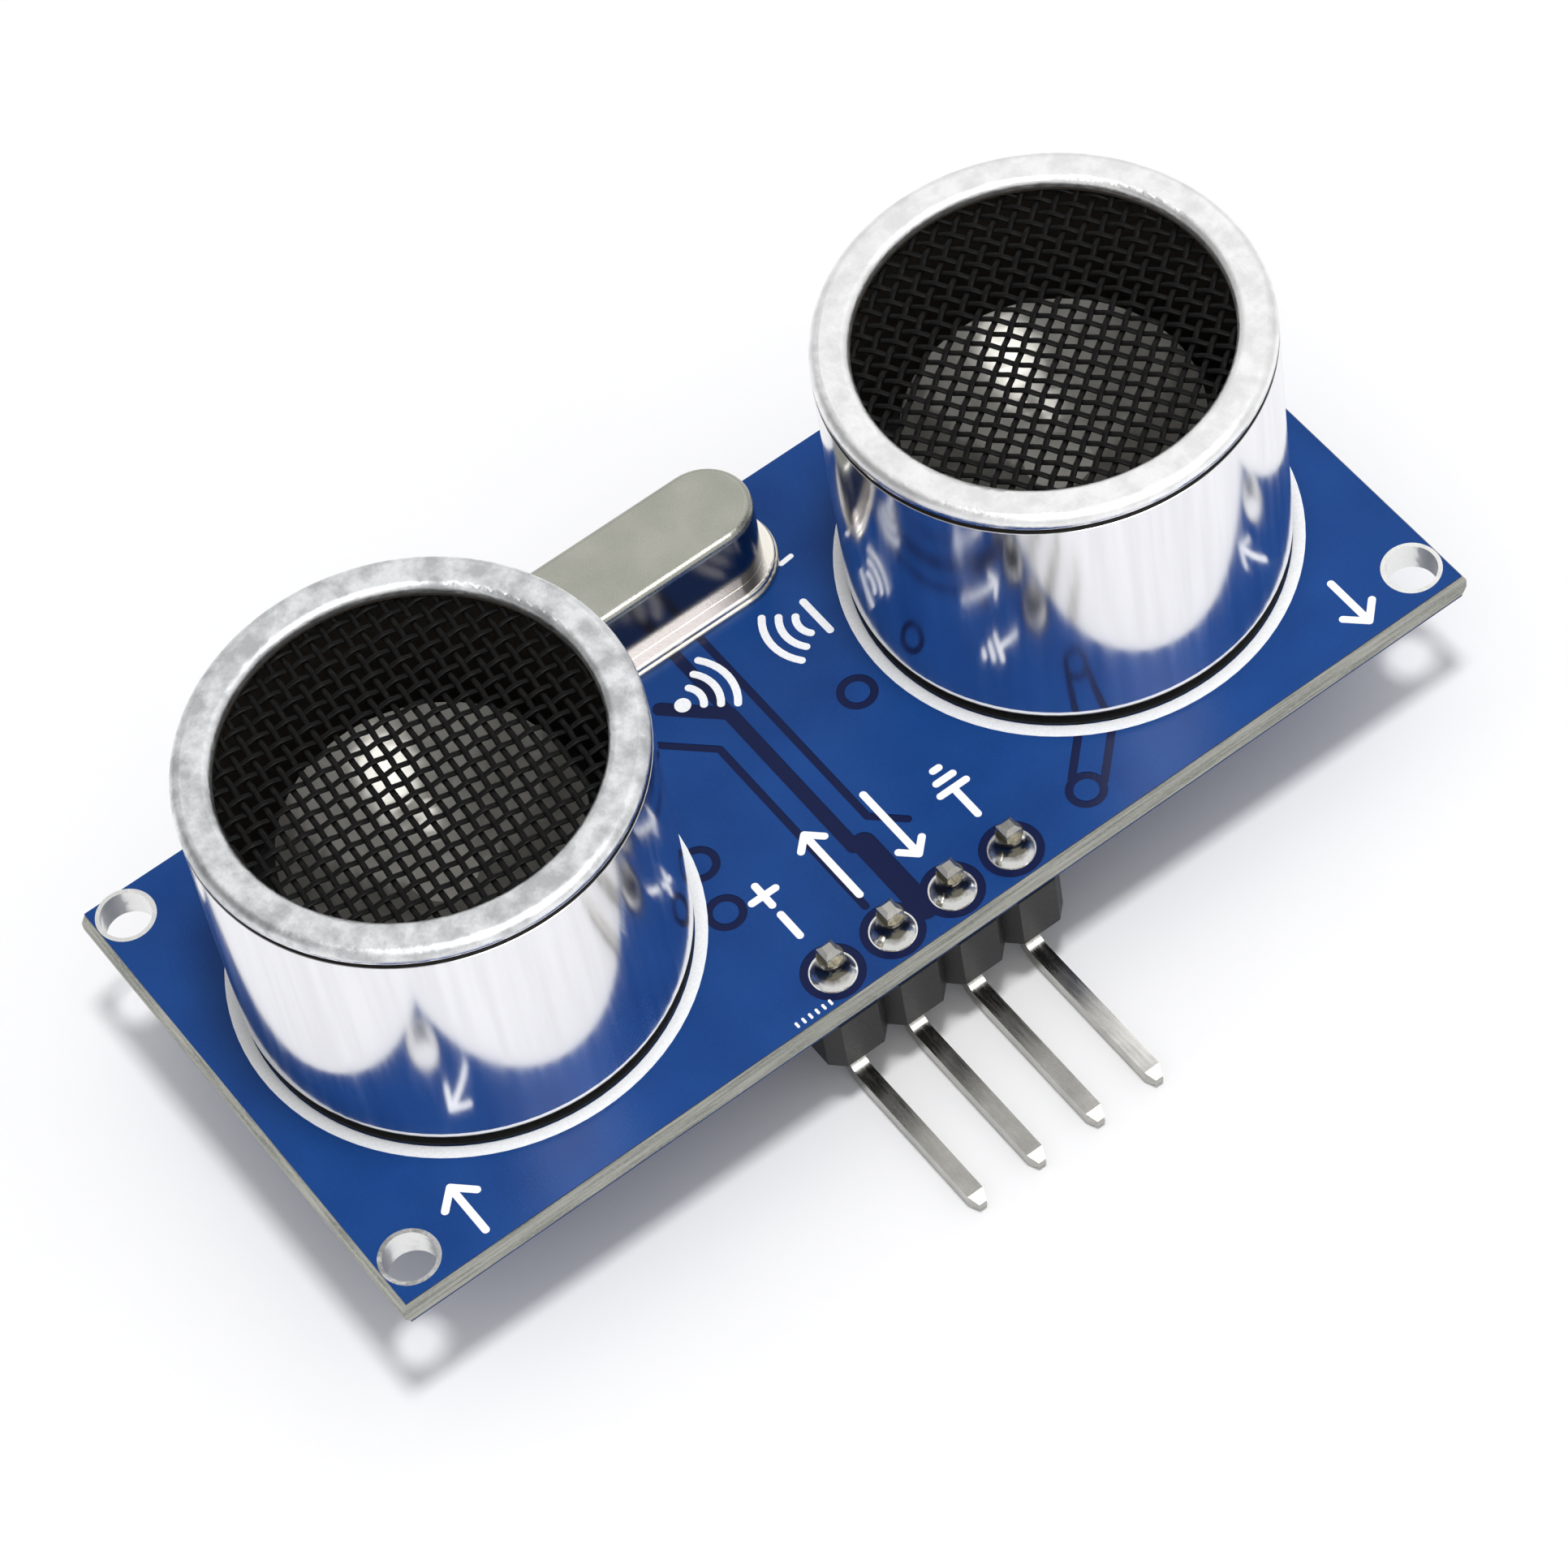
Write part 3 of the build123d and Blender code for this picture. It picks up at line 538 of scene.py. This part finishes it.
def woven_screen(side, look):
    """The wire cloth under a can's lip, which stands for the plain CAD screen."""
    low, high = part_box(f"{side}_mesh")
    x, y = can_axis(side)
    reach = (high.x - low.x) / 2 - WIRE_HALF_WIDTH
    lift = WIRE_LIFT * WIRE_HALF_THICKNESS
    mesh = bmesh.new()
    add_wires(mesh, reach, PITCH_X, PITCH_Y, True, lift, 0)
    add_wires(mesh, reach, PITCH_Y, PITCH_X, False, lift, 1)
    middle_z = high.z - TOP_GAP * WIRE_HALF_THICKNESS
    place = Matrix.Translation((x, y, middle_z)) @ Matrix.Rotation(TURN[side], 4, "Z")
    bmesh.ops.transform(mesh, matrix=place, verts=mesh.verts)
    data = bpy.data.meshes.new(f"{side}_wire_cloth")
    mesh.to_mesh(data)
    mesh.free()
    piece = bpy.data.objects.new(f"{side}_wire_cloth", data)
    bpy.context.scene.collection.objects.link(piece)
    data.materials.append(look.material)
    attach(piece, "root")
    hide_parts(f"{side}_mesh")


wire_cloth = wire_cloth_look()
for side in SIDES:
    woven_screen(side, wire_cloth)

# ---- Stage: floor, light, camera -----------------------------------------------------------
FLOOR_GAP = 0.03 * MM
FLOOR_HALF = 0.9
KEY_PLACE = (0.015, -0.045, 0.45)
KEY_SIZE = 0.07
KEY_POWER = 1.1
EYE = Vector((-53.58, -106.22, 169.97)) * MM
TARGET = Vector((-0.75, -1.74, 0.0)) * MM
ROLL = math.radians(-11.45)
SENSOR_MM = 36
LENS_MM = 137.2
NEAR_CLIP = 0.01
ROOM_LIGHT = 0.62
ROOM_MIRRORED = 0.8
# direction, inner and outer angle in degrees, brightness added
MIRRORED_PATCHES = [
    ((0.05, -0.53, 0.85), 7, 19, 8.5),
    ((0.26, -0.28, 0.925), 5, 9, 2.4),
    ((-0.02, -0.09, 0.995), 3, 8, 6.5),
    ((0.5, 0.5, 0.7), 8, 22, 0.3),
    ((-0.7, 0.45, 0.6), 15, 45, -0.5),
]


def floor():
    """A pale floor just under the object."""
    look = Look("pale_floor", 0.7)
    grain = look.noise(8.0, 2)
    look.set("Base Color", look.mix(grain, (0.905, 0.905, 0.915), (0.93, 0.93, 0.94)))
    data = bpy.data.meshes.new("floor")
    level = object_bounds()[0].z - FLOOR_GAP
    signs = [(-1, -1), (1, -1), (1, 1), (-1, 1)]
    corners = [(x * FLOOR_HALF, y * FLOOR_HALF, level) for x, y in signs]
    data.from_pydata(corners, [], [(0, 1, 2, 3)])
    data.materials.append(look.material)
    piece = bpy.data.objects.new("floor", data)
    bpy.context.scene.collection.objects.link(piece)
    piece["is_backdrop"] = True


def key_light():
    """A soft lamp that aims at the origin and isn't seen in the metal."""
    data = bpy.data.lights.new("key", "AREA")
    data.shape = "SQUARE"
    data.size = KEY_SIZE
    data.energy = KEY_POWER
    lamp = bpy.data.objects.new("key", data)
    lamp.location = KEY_PLACE
    aim = -Vector(KEY_PLACE)
    lamp.rotation_euler = aim.to_track_quat("-Z", "Y").to_euler()
    lamp.visible_glossy = False
    bpy.context.scene.collection.objects.link(lamp)


def camera():
    """Look from the eye to the target, with the picture turned about the line of sight."""
    data = bpy.data.cameras.new("camera")
    data.sensor_width = SENSOR_MM
    data.lens = LENS_MM
    data.clip_start = NEAR_CLIP
    seen = bpy.data.objects.new("camera", data)
    look_at = (TARGET - EYE).to_track_quat("-Z", "Y").to_matrix().to_4x4()
    seen.matrix_world = Matrix.Translation(EYE) @ look_at @ Matrix.Rotation(ROLL, 4, "Z")
    bpy.context.scene.collection.objects.link(seen)
    bpy.context.scene.camera = seen


def sky_patch(tree, way, direction, inner, outer):
    """1 within an angle around a direction, falling to 0 at the outer angle."""
    along = tree.nodes.new("ShaderNodeVectorMath")
    along.operation = "DOT_PRODUCT"
    along.inputs[1].default_value = Vector(direction).normalized()
    tree.links.new(way, along.inputs[0])
    fall = tree.nodes.new("ShaderNodeMapRange")
    fall.interpolation_type = "SMOOTHSTEP"
    fall.inputs["From Min"].default_value = math.cos(math.radians(outer))
    fall.inputs["From Max"].default_value = math.cos(math.radians(inner))
    tree.links.new(along.outputs["Value"], fall.inputs["Value"])
    return fall.outputs["Result"]


def mirrored_room(tree):
    """The brightness that metal mirrors: an even room with brighter and dimmer patches."""
    way = tree.nodes.new("ShaderNodeTexCoord").outputs["Generated"]
    brightness = tree.nodes.new("ShaderNodeValue").outputs[0]
    brightness.default_value = ROOM_MIRRORED
    for direction, inner, outer, strength in MIRRORED_PATCHES:
        added = tree.nodes.new("ShaderNodeMath")
        added.operation = "MULTIPLY_ADD"
        tree.links.new(sky_patch(tree, way, direction, inner, outer), added.inputs[0])
        added.inputs[1].default_value = strength
        tree.links.new(brightness, added.inputs[2])
        brightness = added.outputs[0]
    return brightness


def world():
    """An even white room for light, and the mirrored room where metal reflects it."""
    backdrop = bpy.data.worlds.new("studio")
    backdrop.use_nodes = True
    tree = backdrop.node_tree
    sky = tree.nodes["Background"]
    sky.inputs["Color"].default_value = (1, 1, 1, 1)
    is_mirrored = tree.nodes.new("ShaderNodeLightPath").outputs["Is Glossy Ray"]
    chosen = tree.nodes.new("ShaderNodeMix")
    chosen.inputs[2].default_value = ROOM_LIGHT
    tree.links.new(is_mirrored, chosen.inputs[0])
    tree.links.new(mirrored_room(tree), chosen.inputs[3])
    tree.links.new(chosen.outputs[0], sky.inputs["Strength"])
    bpy.context.scene.world = backdrop


floor()
world()
key_light()
camera()
bpy.context.scene.view_settings.view_transform = "Standard"
